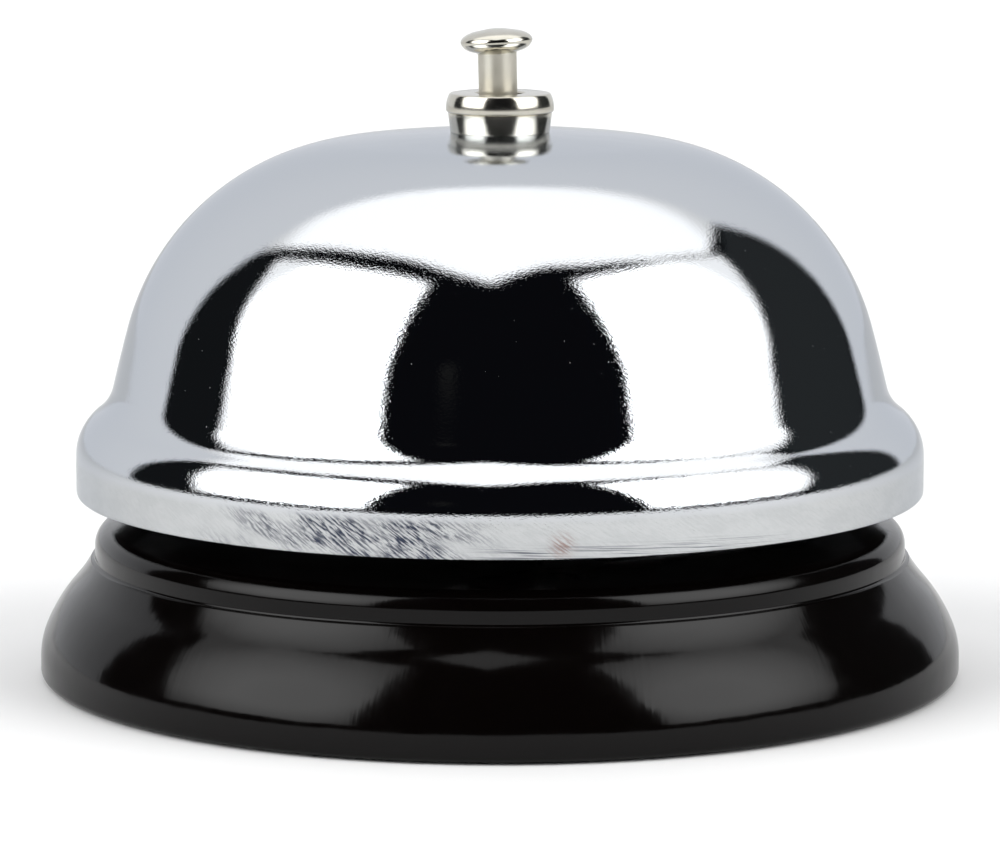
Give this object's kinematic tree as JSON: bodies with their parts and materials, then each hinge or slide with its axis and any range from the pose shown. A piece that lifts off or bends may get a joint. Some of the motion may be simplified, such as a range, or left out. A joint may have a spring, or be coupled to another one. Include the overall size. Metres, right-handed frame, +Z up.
{
  "type": "service bell",
  "caption": "Desk call bell: a bright domed bell on a flared black base, with a push button on top that throws a hammer inside the dome.",
  "frame": {"origin": "on the table, under the middle of the bell", "axes": "+Z up along the bell's axis; -Y towards the person at the counter; +X towards the hammer's side"},
  "size_m": [0.085, 0.085, 0.0596],
  "materials": {
    "enamel": "gloss",
    "chrome": "mirror",
    "nickel_plate": "polished",
    "zinc_steel": "satin",
    "spring_steel": "satin",
    "brass": "satin",
    "rubber": "matte",
    "fibre": "matte",
    "nylon": "satin"
  },
  "bodies": {
    "root": {"base_shell": "enamel", "rubber_foot_1": "rubber", "rubber_foot_2": "rubber", "rubber_foot_3": "rubber", "rubber_foot_4": "rubber", "center_post": "zinc_steel", "base_washer": "zinc_steel", "lock_washer": "spring_steel", "base_nut": "zinc_steel", "striker_bracket": "zinc_steel", "bracket_rivet_1": "brass", "bracket_rivet_2": "brass", "pivot_pin": "zinc_steel", "pivot_pin_clip": "spring_steel", "pivot_spacer_1": "nylon", "pivot_spacer_2": "nylon", "dome_seat_washer": "zinc_steel", "dome_cushion_washer": "fibre", "bell_dome": "chrome", "collar_nut": "nickel_plate", "return_spring": "spring_steel"},
    "plunger": {"push_button": "nickel_plate", "push_rod": "zinc_steel", "push_rod_clip": "spring_steel"},
    "striker": {"striker_lever": "zinc_steel", "hammer_head": "zinc_steel", "hammer_rivet": "zinc_steel"}
  },
  "joints": [
    {"name": "press", "type": "slide", "parent": "root", "child": "plunger", "axis": [0, 0, -1], "range_m": [0, 0.0034], "stiffness_N_per_m": 300, "springref_m": -0.003, "deforming": ["return_spring"]},
    {"name": "strike", "type": "hinge", "parent": "root", "child": "striker", "pos_m": [0.00682, 0, 0.0319], "axis": [0, -1, 0], "range_deg": [0, 28]}
  ],
  "couplings": [
    {"joint": "strike", "follows": "press", "rad_per_m": 143.73}
  ]
}
